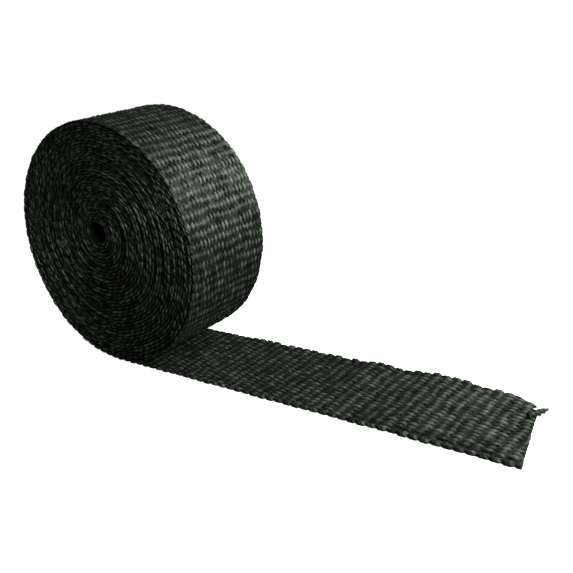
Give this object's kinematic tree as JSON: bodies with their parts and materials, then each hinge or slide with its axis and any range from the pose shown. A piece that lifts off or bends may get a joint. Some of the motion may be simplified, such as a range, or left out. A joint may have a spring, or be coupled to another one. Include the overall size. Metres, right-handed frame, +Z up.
{
  "type": "exhaust heat wrap roll",
  "caption": "Roll of woven glass-fibre heat wrap tape for exhaust pipes, standing on its rim with its free end laid out flat.",
  "frame": {"origin": "on the floor, under the coil's centre at the middle of the tape's width, where the tape's flat underside begins", "axes": "+X along the free end, away from the coil; +Y along the coil's axis, across the tape; +Z up"},
  "size_m": [0.2624, 0.0508, 0.1202],
  "materials": {
    "wrap_cloth": "coarse plain weave of black glass-fibre yarn, dull with a faint sheen"
  },
  "bodies": {
    "root": {"heat_wrap_tape": "wrap_cloth"}
  },
  "joints": []
}
